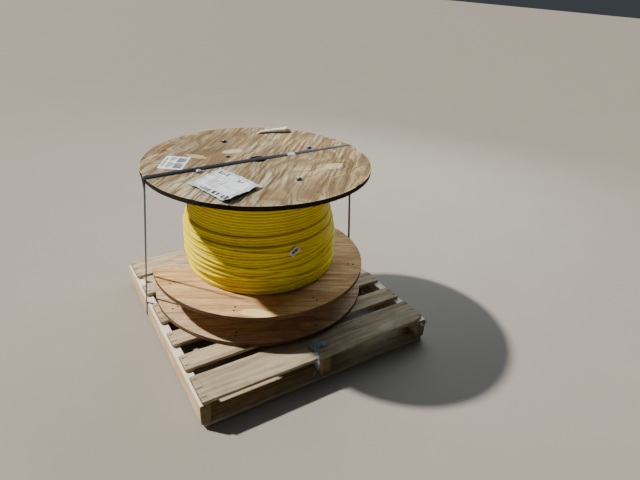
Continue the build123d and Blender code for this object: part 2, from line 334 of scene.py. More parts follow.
def veneer(name, tones, turn, seed, bands=5.0, banding=0.3, grime=0.5, patches=(), knots=(), soiled=(),
           worn_rim=0.0):
    """Face veneer of rotary-cut plywood, in light, middling, dark and weathered tones. The grain is a
    coordinate across the sheet, bent by slow noise and round each knot. Its sine gives the growth
    bands, and noise that is long along it gives streaks and pores. Patches are ellipses let into it,
    soiled places are wide soft ones, and each knot darkens to its middle."""
    light, mid, dark, weathered = map(colour, tones)
    f = Finish(name, light, Specular_IOR_Level=0.25)
    centre = (axis_x, axis_y, 0)
    sheet = f.place((axis_x + 3.1 * seed, axis_y - 1.7 * seed, 0), turn)
    across = f.add("SeparateXYZ", {0: sheet}).outputs[1]
    swell = f.noise(f.place(centre, turn, (1.6, 4.2, 1)), detail=2.0)
    bend = f.noise(f.place(centre, turn, (5.5, 11, 1)), detail=2.0)
    grain = f.plus(f.plus(f.times(across, bands), swell, 5.0), bend, 0.9)
    from_knots = [f.from_ellipse(x, y, size, size / 1.7, lean) for x, y, size, lean in knots]
    for far in from_knots:
        grain = f.plus(grain, f.within(far, 0.0, 3.4, 2.6, 0.0))
    late_wood = f.within(f.work_out("SINE", f.times(grain, tau)), 0.1, 1.0)
    fine_bands = f.work_out("SINE", f.times(grain, tau * 2.7))
    clear = f.within(f.noise(f.place(centre, turn, (1.9, 3.1, 1)), detail=2.0), 0.38, 0.62)
    streaks = f.noise(f.place(centre, turn, (5.0, 85, 5)), 1.0, 4.0, 0.65, 0.25)
    pores = f.noise(f.place(centre, turn, (30, 520, 30)), 1.0, 2.0, 0.7)
    blotches = f.noise(f.place(centre), 5.2, 5.0, 0.62)
    stains = f.noise(f.place(centre, turn, (2.4, 6.5, 1)), 1.0, 4.0, 0.6, 0.5)
    greyed = f.plus(blotches, f.within(f.part(0), axis_x - 0.35, axis_x + 0.3, 0.12, -0.06))
    f.stain(weathered, greyed, 0.36, 0.66)
    f.cover(mid, f.times(late_wood, f.within(clear, 0.0, 1.0, 0.3, 0.9)))
    f.stain(mid, fine_bands, 0.1, 1.0, banding)
    f.stain(mid, streaks, 0.42, 0.60, 0.72)
    f.stain(dark, streaks, 0.50, 0.66, 0.30 + 0.5 * banding)
    f.stain(darker(light, 1.2), streaks, 0.44, 0.34, 0.4)
    f.stain(mid, stains, 0.48, 0.64, grime)
    f.stain(dark, stains, 0.56, 0.74, grime)
    f.stain(dark, pores, 0.50, 0.68, 0.5)
    for *ellipse, share in soiled:
        ragged = f.plus(f.from_ellipse(*ellipse), f.plus(stains, streaks), 0.9)
        f.stain(darker(mid, 0.72), ragged, 2.1, 1.0, share)
    for *ellipse, tone, share in patches:
        ragged = f.plus(f.from_ellipse(*ellipse), streaks, 0.5)
        f.stain(colour(tone), ragged, 0.86, 0.72, share)
    for far in from_knots:
        whorl = f.work_out("SINE", f.times(f.plus(far, bend, 1.2), 7.5))
        faint = f.times(f.within(far, 0.4, 2.6, 0.62, 0.0), f.within(whorl, 0.0, 0.9))
        f.cover(dark, f.times(faint, f.within(streaks, 0.40, 0.60, 0.15, 1.0)))
    if worn_rim:
        out = f.plus(f.out_from(f.place(centre, 0, (1, 1, 0))), blotches, 4 * MM)
        f.stain(darker(light, 1.25), out, flange_radius - 1.5 * MM, flange_radius + 0.8 * MM, worn_rim)
    relief = f.plus(f.plus(f.times(pores, 0.6), streaks, 0.9), late_wood, -0.35)
    return f.done(f.within(streaks, 0.3, 0.8, 0.74, 0.92), relief, 0.8 * MM)


def ply_edge(name, node, tones, dirt=0.4, plies=7):
    """Sawn edge of a plywood flange, in tones of face grain, end grain and dirt. The plies are bands of
    height, face grain and end grain in turn, with fibres in them."""
    light, dark, dirty = map(colour, tones)
    low, high = span_of(node)
    f = Finish(name, light, Specular_IOR_Level=0.22)
    waver = f.noise(f.place(stretch=(9, 9, 40)))
    level = f.plus(f.times(f.less(f.part(2), low), plies / (high - low) / 2), waver, 0.18)
    band = f.within(f.work_out("PINGPONG", level, 0.5), 0.17, 0.33)
    fibres = f.noise(f.place(stretch=(60, 60, 900)), 1.0, 3.0, 0.65)
    chips = f.noise(f.place((5, 1, 0), 0, (38, 38, 110)), 1.0, 4.0, 0.7)
    f.cover(dark, band)
    f.stain(dark, fibres, 0.4, 0.75, 0.6)
    f.stain(dirty, f.noise(f.place(), 9.0, 4.0, 0.6), 0.35, 0.6, dirt)
    f.stain(darker(light, 1.9), chips, 0.66, 0.74, 0.5)
    return f.done(0.88, f.plus(f.plus(fibres, chips), band, 0.7), 1.2 * MM)


def chatter_marks(f, centre):
    """Where a saw chattered: even ripples across a board, on a stretch of its length and near its back
    edge."""
    x, y = f.part(0), f.part(1)
    ripple = f.times(f.less(x, f.times(y, 0.25)), tau / (10.5 * MM))
    ripple = f.plus(ripple, f.noise(f.place(centre), 30.0, 2.0), 5.0)
    stretch = f.times(f.within(x, -0.02, 0.10), f.within(x, 0.36, 0.44, 1.0, 0.0))
    there = f.times(stretch, f.within(y, deck_front + 55 * MM, deck_front + 85 * MM))
    return f.times(f.within(f.work_out("SINE", ripple), 0.2, 1.0), there)


def from_nail(f, y_nail):
    """Squared distance from the middle of the smear beside the nearest nail of a line, 1 on its outline.
    The stringers lie at 0 and at plus and minus stringer_x, so | |x| - stringer_x / 2 | less
    stringer_x / 2 is 0 at each of them, and the smear's middle lies 4 mm beside it."""
    x = f.less(f.work_out("ABSOLUTE", f.part(0)), stringer_x / 2)
    x = f.less(f.work_out("ABSOLUTE", x), stringer_x / 2 - 4 * MM)
    y = f.less(f.part(1), y_nail)
    return f.plus(f.work_out("POWER", f.work_out("DIVIDE", x, 19 * MM), 2.0),
                  f.work_out("POWER", f.work_out("DIVIDE", y, 4.2 * MM), 2.0))


def sawn_wood(node, tones, along_y, seed, nails=(), chatter=0.0, grime=0.35, painted_lit_top=False):
    """Rough-sawn pallet wood in light, middling and dark tones: growth bands and fibres along it, fine
    saw marks across, dirt, dark end grain that is partly painted shade, and a dark smear at every
    nail. nails are the places of the nail lines over the board's width, and chatter is the share of
    the chatter marks' dark. A stringer can also take a painted highlight along its top."""
    light, mid, dark = map(colour, tones)
    f = Finish(f"{node}_wood", light, Specular_IOR_Level=0.2)
    turn = pi / 2 if along_y else 0.0
    centre = (0.83 * seed, 0.71 * seed, 0.31 * seed)
    slow = f.noise(f.place(centre, turn, (1.0, 7, 7)), 1.0, 3.0, 0.5, 0.5)
    bands = f.within(f.work_out("SINE", f.times(slow, 60.0)), -0.2, 1.0)
    fibres = f.noise(f.place(centre, turn, (16, 480, 480)), 1.0, 3.0, 0.65)
    streaks = f.noise(f.place(centre, turn, (3, 55, 55)), 1.0, 4.0, 0.62)
    blotches = f.noise(f.place(centre), 7.0, 5.0, 0.65)
    specks = f.noise(f.place(centre), 150.0, 3.0, 0.7)
    saw = f.noise(f.place(centre, turn + 0.06, (420, 9, 9)), 1.0, 2.0, 0.6)
    f.cover(mid, f.times(bands, 0.45))
    f.stain(mid, streaks, 0.42, 0.66, 0.75)
    f.stain(dark, streaks, 0.56, 0.74, 0.45)
    f.stain(darker(light, 1.15), streaks, 0.44, 0.32, 0.35)
    f.stain(dark, fibres, 0.5, 0.8, 0.6)
    f.stain(darker(mid, 0.6), blotches, 0.42, 0.72, grime)
    f.stain(dark, specks, 0.58, 0.75, 0.4)
    f.stain(dark, saw, 0.56, 0.74, 0.16)
    # Painted highlight: the top 3 mm of a stringer is painted near white, standing in for sun on its top
    # face.
    if painted_lit_top:
        top = span_of(node)[1]
        f.stain(colour((252, 246, 230)), f.part(2), top - 3.0 * MM, top - 1.5 * MM, 0.75)
    # The end grain at both ends is painted very dark: partly its own darker tone, partly painted shade like
    # that on the shaded front ends.
    low_end, high_end = span_of(node, int(along_y))
    half = (high_end - low_end) / 2
    from_middle = f.work_out("ABSOLUTE", f.less(f.part(int(along_y)), (low_end + high_end) / 2))
    f.stain(darker(mid, 0.22), f.plus(from_middle, fibres, 1.2 * MM), half - 1.2 * MM, half + 0.2 * MM, 0.8)
    relief = f.plus(f.times(fibres, 0.8), saw, 0.35)
    if chatter:
        cut = chatter_marks(f, centre)
        f.cover(darker(dark, 0.8), f.times(cut, chatter))
        relief = f.plus(relief, cut, -0.9)
    for y_nail in nails:
        f.stain(darker(dark, 0.55), f.plus(from_nail(f, y_nail), streaks, 1.6), 1.7, 0.75, 0.72)
    return f.done(f.within(streaks, 0.3, 0.8, 0.8, 0.94), relief, 1.0 * MM)


def jacket_finish():
    """Extruded yellow jacket: satin, a little dusty, with faint scuffs."""
    f = Finish("yellow_jacket", colour((252, 232, 14)), Specular_IOR_Level=0.22)
    dust = f.noise(f.place(), 8.0, 5.0, 0.65)
    scuffs = f.noise(f.place(stretch=(45, 45, 240)), 1.0, 3.0, 0.6)
    f.stain(colour((240, 212, 10)), dust, 0.35, 0.75)
    f.stain(colour((222, 200, 60)), scuffs, 0.60, 0.8, 0.3)
    return f.done(f.within(dust, 0.3, 0.8, 0.42, 0.56), scuffs, 0.2 * MM)


def strap_finish():
    """Blued steel strap: slate grey, brushed along its length and scuffed pale in places."""
    f = Finish("slate_strap", colour((44, 47, 56)), Metallic=0.05, Specular_IOR_Level=0.2)
    scuffs = f.noise(f.place(), 30.0, 5.0, 0.7)
    f.cover(colour((78, 82, 92)), f.noise(f.place(stretch=(4, 1300, 4)), 1.0, 3.0, 0.6))
    f.stain(colour((122, 118, 112)), scuffs, 0.58, 0.72, 0.5)
    return f.done(f.within(scuffs, 0.3, 0.8, 0.66, 0.8), scuffs, 0.2 * MM)


def steel_finish(name, dull, bright, grime):
    """Zinc-plated steel with its spangle, and brown dirt where it was never wiped."""
    f = Finish(name, colour(dull), Metallic=0.8)
    rust = f.noise(f.place((3, 1, 2)), 62.0, 5.0, 0.7)
    f.cover(colour(bright), f.noise(f.place(), 160.0, 3.0))
    f.stain(colour((86, 75, 64)), rust, 0.46, 0.62, grime)
    return f.done(f.within(rust, 0.3, 0.7, 0.32, 0.6), rust, 0.4 * MM)


def sheet_finish(name, tone, tint, roughness, gloss=0.0, depth=0.4 * MM, scale=60.0, alpha=1.0):
    """A thin sheet with a cloudy mottle, and grubby where it was handled."""
    f = Finish(name, colour(tone), Specular_IOR_Level=0.4, Coat_Weight=gloss, Coat_Roughness=0.15,
               Alpha=alpha)
    mottle = f.noise(f.place(), scale, 4.0, 0.62, 0.4)
    f.stain(colour(tint), mottle, 0.35, 0.7)
    f.stain(darker(colour(tint), 0.7), f.noise(f.place((1, 4, 2)), 15.0, 4.0), 0.55, 0.75, 0.35)
    return f.done(f.within(mottle, 0.3, 0.7, roughness, roughness + 0.15), mottle, depth)


weathered_face = veneer(
    "weathered_veneer", [(192, 172, 126), (122, 95, 60), (54, 39, 24), (182, 178, 152)], radians(47), 1,
    bands=10.0, banding=0.72, grime=0.6, worn_rim=0.7,
    soiled=[(0.02, -0.36, 0.30, 0.12, 0, 0.62), (-0.08, 0.32, 0.34, 0.14, -8, 0.60),
            (-0.02, -0.02, 0.24, 0.16, 30, 0.40), (-0.16, 0.17, 0.20, 0.05, -12, 0.55),
            (0.20, -0.15, 0.16, 0.03, -14, 0.50)],
    patches=[(-0.056, 0.131, 0.084, 0.044, 5, (218, 200, 160), 0.62),
             (-0.213, 0.128, 0.090, 0.034, -52, (204, 180, 138), 0.60),
             (0.238, -0.195, 0.084, 0.054, 12, (220, 202, 158), 0.55)],
    knots=[(0.262, -0.222, 0.034, 30), (-0.222, 0.258, 0.026, 10),
           (-0.322, -0.268, 0.018, 50), (0.128, -0.125, 0.026, 20),
           (-0.105, 0.172, 0.030, 0)])
fresh_face = veneer(
    "fresh_veneer", [(240, 205, 148), (200, 154, 104), (120, 88, 60), (226, 190, 136)], radians(-28), 2,
    patches=[(-0.192, -0.384, 0.118, 0.046, -39, (252, 224, 160), 0.9)])
lower_face = veneer(
    "lower_veneer", [(224, 200, 162), (182, 154, 124), (112, 90, 70), (210, 184, 148)], radians(-24), 4)
barrel_face = veneer(
    "barrel_veneer", [(176, 164, 150), (146, 134, 120), (96, 85, 74), (166, 155, 142)], radians(-28), 3)
dark_edge = ply_edge("dark_ply_edge", "top_flange", [(66, 48, 34), (34, 25, 18), (22, 17, 13)], dirt=0.6)
brown_edge_tones = [(156, 124, 88), (88, 64, 44), (58, 44, 32)]
middle_edge = ply_edge("middle_ply_edge", "middle_flange", brown_edge_tones)
bottom_edge = ply_edge("bottom_ply_edge", "bottom_flange", brown_edge_tones)
yellow_jacket = jacket_finish()
slate_strap = strap_finish()
bright_zinc = steel_finish("bright_zinc", (168, 170, 172), (214, 215, 214), 0.3)
grimy_zinc = steel_finish("grimy_zinc", (104, 102, 100), (140, 138, 134), 0.85)
rusty_steel = steel_finish("rusty_steel", (60, 48, 40), (92, 74, 60), 0.9)
film_over_paper = sheet_finish("film_over_paper", (246, 248, 248), (212, 219, 226), 0.2, 0.6, 5 * MM, 34.0)
bare_pouch_film = sheet_finish("bare_pouch_film", (178, 192, 206), (220, 228, 234), 0.18, 0.6, 5 * MM, 40.0)
label_paper = sheet_finish("label_paper", (236, 241, 243), (222, 229, 232), 0.5)
rolled_paper = sheet_finish("rolled_paper", (240, 236, 224), (206, 196, 176), 0.6, 0.0, 0.8 * MM, 40.0)
blue_film = sheet_finish("blue_film", (104, 142, 168), (160, 186, 202), 0.35, 0.2, 4 * MM, 70.0, alpha=0.55)
print_ink = sheet_finish("print_ink", (58, 56, 70), (88, 88, 102), 0.6)
dark_ink = sheet_finish("dark_ink", (44, 44, 54), (76, 76, 88), 0.6)
# Dark brown: painted shade for the veneer cracks, and the ink of the sticker's print.
crack_shade_and_ink = sheet_finish("crack_shade_and_ink", (40, 29, 20), (24, 18, 13), 0.9)


# Pallet

def sawn_board(node, along_y, finish, seed, broken=(1 * MM, 0.0)):
    """A sawn board in the CAD board's place. Its section, a rectangle with worn round corners, is carried
    along its length and drawn in over the last 2 mm at each end. The corners' round and the upper
    face's level wander by about a millimetre on the way. broken is how much of its length and of its
    width is lost at the front corner of its far end."""
    low, high = box_of(node)
    centre = (low + high) / 2
    size = high - low
    length, width, thick = (size[1], size[0], size[2]) if along_y else size
    end_steps = np.array([0, 0.8, 2.0]) * MM
    end_inset = np.array([1.6, 0.6, 0]) * MM
    ends = np.concatenate([end_steps, length - end_steps[::-1]])
    stations = np.concatenate([ends[:3], np.linspace(4 * MM, length - 4 * MM, 120), ends[3:]])
    around = full_turn(72)
    s, a = np.meshgrid(stations, around, indexing="ij")
    squareness = 16.0
    reach = (np.abs(np.cos(a)) ** squareness + np.abs(np.sin(a)) ** squareness) ** (-1 / squareness)
    across, up = np.cos(a) * reach, np.sin(a) * reach
    corner = (np.abs(across) * np.abs(up)) ** 8
    splinter = np.maximum(0, wander(s * 31 + a * 2, seed + 9, 5) - 0.7) * 5
    rub = 1.0 * MM * corner * (1 + wander(s * 40 + a * 3, seed, 5) + splinter)
    rub += np.interp(s, ends, np.concatenate([end_inset, end_inset[::-1]]))
    cup = 0.48 * MM * (across ** 2 - 1)
    drop = 0.6 * MM * (wander(s * 5, seed + 7, 3) - 1)
    z_part = np.clip(up * (thick / 2 - rub) + (cup + drop) * (up > 0), -thick / 2, thick / 2)
    broken_length, broken_width = broken
    lost = broken_width * np.clip((s - length + broken_length) / broken_length, 0, 1) ** 0.8
    kept = width / 2 - lost * (1 + 0.25 * wander(s * 160 + z_part * 400, seed + 3, 4))
    x_part = np.minimum(across * (width / 2 - rub), kept)
    if along_y:
        points = np.stack([centre[0] + x_part, low[1] + s, centre[2] + z_part], -1)
    else:
        points = np.stack([low[0] + s, centre[1] - x_part, centre[2] + z_part], -1)
    faces = carried(len(stations), len(around))
    piece(f"{node}_sawn", points, faces, finish, "pallet_wood", (node,), crisp=50)


lead_board_tones = [(184, 171, 144), (144, 126, 100), (78, 62, 46)]
board_tones = [[(212, 197, 168), (172, 150, 116), (90, 71, 50)],
               [(202, 186, 155), (163, 140, 108), (86, 68, 50)]]
stringer_tones = [(230, 208, 170), (200, 168, 122), (120, 92, 62)]
wide_board = 100 * MM                # a wider board has three nails at each stringer, and a narrower one two
board_nodes = [f"deck_board_{n}" for n in range(1, 7)] + [f"bottom_board_{n}" for n in range(1, 4)]
nail_spots = []
for number, node in enumerate(board_nodes):
    front, back = span_of(node, 1)
    nail_shares = (0.16, 0.5, 0.84) if back - front > wide_board else (0.25, 0.75)
    nails = [front + share * (back - front) for share in nail_shares]
    if node.startswith("deck"):
        nail_spots += [(x, y, span_of(node)[1]) for x in (-stringer_x, 0.0, stringer_x) for y in nails]
    lead = node == "deck_board_1"
    wood = sawn_wood(node, lead_board_tones if lead else board_tones[number % 2], False, number + 1, nails,
                     0.4 * lead)
    sawn_board(node, False, wood, number + 1, (40 * MM, 22 * MM * lead))
for number, node in enumerate(["stringer_left", "stringer_middle", "stringer_right"], 21):
    sawn_board(node, True, sawn_wood(node, stringer_tones, True, number, grime=0.4, painted_lit_top=True), number)


def nail_head(x, y, z, seed):
    """A driven nail's head as a low dome, sunk a little askew: radius and height as functions of the
    angle."""
    a = full_turn(12)
    lean_x, lean_y = np.random.default_rng(seed).uniform(-0.06, 0.06, 2)
    rows = []
    for radius, rise in ((3.4, -2.3), (3.4, -0.95), (2.9, -0.65), (1.2, -0.6)):
        level = z + rise * MM + radius * MM * (lean_x * np.cos(a) + lean_y * np.sin(a))
        rows.append(about(x, y, radius * MM, a, level))
    return np.concatenate(rows), carried(len(rows), len(a))


piece("nail_heads", *join([nail_head(*spot, k) for k, spot in enumerate(nail_spots)]), rusty_steel,
      "zinc_steel", crisp=40)


# Flanges

def inside(points, loop):
    """True for each point that a closed loop surrounds, by counting the edges crossed to its right."""
    x, y = points[:, :1], points[:, 1:]
    x1, y1 = loop[:, 0], loop[:, 1]
    x2, y2 = np.roll(x1, -1), np.roll(y1, -1)
    crosses = (y1 > y) != (y2 > y)
    with np.errstate(divide="ignore", invalid="ignore"):
        at = x1 + (y - y1) * (x2 - x1) / (y2 - y1)
    return (crosses & (x < at)).sum(1) % 2 == 1


def offset(loop, distance):
    """A loop moved to its left by a distance, along each point's own normal."""
    ahead = unit(np.roll(loop, -1, 0) - np.roll(loop, 1, 0))
    return loop + distance * np.stack([-ahead[:, 1], ahead[:, 0]], -1)


def sheet_faces(loops, spacing, seed):
    """Points and triangles of a flat region: its outer loop, its holes and scattered points between."""
    outer, holes = loops[0], loops[1:]
    low, high = outer.min(0), outer.max(0)
    draw = np.random.default_rng(seed)
    gx, gy = np.meshgrid(np.arange(low[0], high[0], spacing), np.arange(low[1], high[1], spacing))
    spots = np.stack([gx.ravel(), gy.ravel()], -1) + draw.uniform(-0.3, 0.3, (gx.size, 2)) * spacing
    keep = inside(spots, offset(outer, spacing * 0.4))
    for hole in holes:
        keep &= ~inside(spots, offset(hole, -spacing * 0.4))
    points = np.concatenate(loops + [spots[keep]])
    edges, start = [], 0
    for loop in loops:
        n = len(loop)
        edges += [(start + k, start + (k + 1) % n) for k in range(n)]
        start += n
    made = delaunay_2d_cdt([Vector(p) for p in points.tolist()], edges, [], 0, 1e-7)
    flat = np.array([tuple(v) for v in made[0]])
    triangles = np.array(made[2])
    middles = flat[triangles].mean(1)
    keep = inside(middles, outer)
    for hole in holes:
        keep &= ~inside(middles, hole)
    return flat, triangles[keep]


def edge_wear(loop, wear, seed, chips=()):
    """How far the arris is worn back at each point of a loop: uneven, with small nicks, and with the
    chips that are given by angle, half width and depth."""
    t = np.arange(len(loop)) / len(loop) * tau
    nicks = np.maximum(0, wander(t * 9, seed + 3, 6) - 0.72) * 7
    worn = wear * (0.7 + 0.5 * wander(t * 20, seed, 5) + nicks)
    angle = np.arctan2(loop[:, 1], loop[:, 0])
    for at, half_width, depth in chips:
        away = np.abs((angle - radians(at) + pi) % tau - pi) / half_width
        worn = worn + depth * MM * np.clip(1 - away, 0, 1) ** 0.5 * (1 + 0.3 * wander(t * 90, seed + 5, 3))
    return np.maximum(worn, 0.15 * MM)[:, None]


def plywood_disc(name, node, outline, holes, finishes, slot, seed, wear, chips=()):
    """A plywood flange. Its two faces are flat regions with holes. Each loop's wall is the loop carried
    down through the thickness, worn back at both arrises and a little uneven from ply to ply."""
    low, high = span_of(node)
    arris = 0.5 * MM
    spacing = 0.018
    loops = [outline] + [hole[::-1] for hole in holes]
    worn_top = [edge_wear(outline, wear, seed + 1, chips)] + [arris] * len(holes)
    worn_bottom = [edge_wear(outline, wear, seed)] + [arris] * len(holes)
    parts, which = [], []
    for z, depths in ((high, worn_top), (low, worn_bottom)):
        flat, triangles = sheet_faces([offset(loop, d) for loop, d in zip(loops, depths)], spacing, seed)
        parts.append((np.concatenate([flat, np.full((len(flat), 1), z)], 1), triangles))
        which += [0] * len(triangles)
    for k, (loop, top, bottom) in enumerate(zip(loops, worn_top, worn_bottom)):
        rows = [(high, offset(loop, top)), (high - arris, offset(loop, top * 0.35))]
        for ply, z in enumerate(np.linspace(high - 1.6 * MM, low + 1.6 * MM, 8)):
            uneven = 0.25 * MM * (1 + wander(np.arange(len(loop)) * 0.13, seed + ply, 5)[:, None])
            notched = top * 0.25 * (z > (low + high) / 2)
            rows.append((z, offset(loop, (uneven + notched) * (k == 0))))
        rows += [(low + arris, offset(loop, bottom * 0.35)), (low, offset(loop, bottom))]
        points = [np.concatenate([xy, np.full((len(loop), 1), z)], 1) for z, xy in rows]
        walls = grid_quads(len(rows), len(loop), round_columns=True)
        parts.append((np.concatenate(points), walls))
        which += [1] * len(walls)
    points, faces = join(parts)
    piece(name, points + [axis_x, axis_y, 0], faces, finishes, slot, (node,), which, crisp=30)


def rounded(a, corner, b, count=10):
    """Quadratic curve from a to b that is drawn towards their corner."""
    t = np.linspace(0, 1, count)[:, None]
    return (1 - t) ** 2 * a + 2 * t * (1 - t) * corner + t ** 2 * b


def notched_outline():
    """The middle flange's rim with its notch: two sloping sides, an arc round the barrel, rounded
    corners."""
    inner = barrel_radius + notch_to_barrel
    corner = np.array([sqrt(flange_radius ** 2 - notch_half_width ** 2), notch_half_width])
    side = np.array([-cos(notch_slope), -sin(notch_slope)])
    inwards = corner @ side
    foot = corner + side * (-inwards - sqrt(inwards ** 2 - (corner @ corner - inner ** 2)))
    leave = corner + side * notch_corner
    mirror = np.array([1, -1])
    start = np.arctan2(corner[1], corner[0]) + notch_corner / flange_radius
    rim = circle(flange_radius, np.linspace(start, tau - start, 640))
    floor_angle = np.arctan2(foot[1], foot[0])
    floor = circle(inner, np.linspace(-floor_angle, floor_angle, 60))
    loop = np.concatenate([rim, rounded(rim[-1], corner * mirror, leave * mirror)[1:-1],
                           np.linspace(leave * mirror, foot * mirror, 30), floor[1:-1],
                           np.linspace(foot, leave, 30), rounded(leave, corner, rim[0])[1:-1]])
    c, s = cos(notch_angle), sin(notch_angle)
    return loop @ np.array([[c, s], [-s, c]])


tail_holes = [ring(3.5 * MM, 16, *polar(r, a)) for r in tail_hole_radii for a in tail_hole_angles]
clear_of_notch = [hole for hole in tail_holes if inside(hole[:1], notched_outline())[0]]
arbor_hole = [ring(35 * MM, 72)]
drive_hole = [ring(10 * MM, 32, *polar(123 * MM, radians(144.6)))]
washer_seats = [ring(18.3 * MM, 44, *polar(bolt_circle_radius, a)) for a in bolt_angles]
bolt_holes = [ring(5.5 * MM, 20, *polar(bolt_circle_radius, a)) for a in bolt_angles]
full_rim = ring(flange_radius, 900)

# Direction in degrees, half width in radians and depth in mm of each chip in the top rim
rim_chips = [(85, 0.012, 3.0), (-131, 0.020, 3.2), (-127, 0.008, 4.0), (160, 0.014, 1.8), (118, 0.010, 2.0),
             (-98, 0.006, 1.8)]
plywood_disc("weathered_top_flange", "top_flange", full_rim,
             arbor_hole + drive_hole + washer_seats + tail_holes,
             [weathered_face, dark_edge], "weathered_plywood", 5, 0.9 * MM, rim_chips)
plywood_disc("notched_middle_flange", "middle_flange", notched_outline(),
             arbor_hole + bolt_holes + clear_of_notch, [fresh_face, middle_edge], "plywood", 11, 0.7 * MM)
plywood_disc("plywood_bottom_flange", "bottom_flange", full_rim, arbor_hole + drive_hole + tail_holes,
             [lower_face, bottom_edge], "plywood", 17, 0.7 * MM)


def crack(corners, width, z):
    """A crack in the veneer: a sliver along a line on a flange, given in mm from the reel's axis. It is
    widest in its middle, has ragged sides and stands a hair proud of the face. Its dark is painted
    shade, standing in for the shade down in the crack."""
    at, line = along(np.array(corners) * MM, 40)
    line = line + [axis_x, axis_y]
    ahead = unit(np.gradient(line, axis=0))
    side = np.stack([-ahead[:, 1], ahead[:, 0]], -1)
    half = width / 2 * np.sin(np.linspace(0.08, pi - 0.08, len(at))) * (1 + 0.5 * wander(at * 9, 3, 4))
    jag = 0.9 * MM * wander(at * 6, 9, 4)
    left, right = (line + side * (jag + way)[:, None] for way in (half, -half))
    below, above = (np.full((len(at), 1), z + rise * MM) for rise in (-0.3, 0.06))
    slot = ((left, below), (left, above), (right, above), (right, below))
    return np.stack([np.concatenate(edge, 1) for edge in slot], 1), carried(len(at), len(slot))


cracks = [crack([(309, -200), (300, -240), (294, -279), (322, -288), (355, -288)], 1.6 * MM, reel_top),
          crack([(150, -66), (196, -96), (238, -150)], 1.1 * MM, reel_top),
          crack([(-391, -214), (-388, -229)], 2.6 * MM, reel_top),
          crack([(338, -184), (362, -200), (403, -218)], 1.6 * MM, middle_top),
          crack([(291, -214), (306, -262), (327, -294), (343, -302)], 1.3 * MM, middle_top)]
# The cracks' dark finish is painted shade of their depth.
piece("veneer_cracks", *join(cracks), crack_shade_and_ink, "plywood", crisp=40)


# Cable

def laid_cable(angle, reach, height, sides, closed=False):
    """Cable laid round the barrel, where each angle has its distance from the axis and its height over
    the middle flange: a circle of a few sides at each angle, upright and in line with the axis."""
    around = full_turn(sides)[:, None]
    out = circle(1.0, angle)
    out = np.stack([out[:, 0], out[:, 1], np.zeros_like(angle)], -1)[:, None]
    up = np.array([0.0, 0.0, 1.0])
    path = about(axis_x, axis_y, reach, angle, middle_top + height)[:, None]
    rings = path + cable_radius * 0.985 * (np.cos(around) * out - np.sin(around) * up)
    return rings, carried(len(angle), sides, closed)


def gathered(angle, height):
    """How far the turns low down stand out or in: pulled in at the left, slipped out at the right."""
    left = np.clip(np.cos(angle - radians(178)), 0, 1) ** 1.5 * np.clip(1 - height / 0.075, 0, 1)
    right = np.clip(np.cos(angle + radians(32)), 0, 1) ** 2 * np.clip(1 - height / 0.17, 0, 1)
    return 5 * MM * right - 17 * MM * left


def turns(radius, count, seed, looseness, lean):
    """One layer of turns as a helix. It keeps its level for most of a turn and climbs to the next in a
    crossing at the back, and both its ends dive into the layer below there. Level and radius wander a
    little, more where the layer is loose, and loose turns lean, high at the right and low at the left."""
    a = np.linspace(0, count * tau, count * 120 + 1) + to_camera + pi
    part = (a - a[0]) / tau
    whole = np.floor(part)
    climb = np.clip((part - whole) / 0.12, 0, 1)
    level = np.minimum(whole, count - 1) - 1 + climb * climb * (3 - 2 * climb)
    height = np.maximum(cable_radius + cable_diameter * level, cable_radius)
    room = np.clip(np.minimum(height, winding_height - height) / (60 * MM), 0, 1)
    height += looseness * 0.8 * MM * wander(a, seed, 6, 0.37) * room
    height += lean * room * np.sin(a - to_camera + 0.5)
    height = np.clip(height, cable_radius, winding_height - cable_radius)
    reach = radius + looseness * 0.6 * MM * wander(a, seed + 50, 6, 0.61)
    reach += gathered(a, height) * (radius - layer_radii[0]) / (layer_radii[2] - layer_radii[0])
    ends = np.minimum(part, count - part)
    reach -= 1.1 * cable_diameter * np.clip(1 - ends / 0.03, 0, 1) ** 1.5
    return laid_cable(a, reach, height, 10)


def slack_turn(middle, swing, high_at, seed, ride):
    """One slack turn over the third layer: a tilted ring that rides on its neighbours where it crosses
    them at the right, and lies down among them towards the left."""
    a = full_turn(220)
    height = middle * MM + swing * MM * np.cos(a - radians(high_at)) + 3.0 * MM * wander(a, seed, 4, 2.0)
    height = np.clip(height, cable_radius, 215 * MM)
    loft = 0.14 + ride * (0.5 + 0.5 * np.cos(a + radians(28))) + 0.12 * wander(a, seed + 9, 4, 3.0)
    reach = layer_radii[2] + layer_pitch * loft + gathered(a, height) * 0.8
    return laid_cable(a, reach, height, 12, closed=True)


def cable_piece(name, points, faces):
    """A piece of the yellow cable, whose faces already point outwards."""
    piece(name, points, faces, yellow_jacket, "cable_jacket", ("cable_winding",), outward=False)


all_turns = int(winding_height / cable_diameter)
cable_piece("first_layer_of_cable", *turns(layer_radii[0], all_turns, 1, 0.8, 0.0))
cable_piece("second_layer_of_cable", *turns(layer_radii[1], 20, 2, 1.0, 10 * MM))
cable_piece("third_layer_of_cable", *turns(layer_radii[2], 17, 3, 1.8, 5 * MM))

# Middle height and swing in mm, direction of the high side in degrees, seed and ride of each slack turn
slack_turns = [(10, 3, -30, 8, 0.35), (36, 18, 10, 4, 0.7), (58, 30, 190, 5, 0.9), (88, 36, -20, 6, 0.8),
               (112, 26, 165, 7, 0.85), (140, 32, 15, 9, 0.6), (168, 26, 200, 10, 0.4)]
cable_piece("slack_turns_of_cable", *join([slack_turn(*turn) for turn in slack_turns]))


# Steelwork

def hexagon(angle):
    """Distance from the middle of a hexagon to its side, by direction."""
    facet = (angle + pi / 6) % (pi / 3) - pi / 6
    return nut_across_flats / 2 / np.cos(facet)


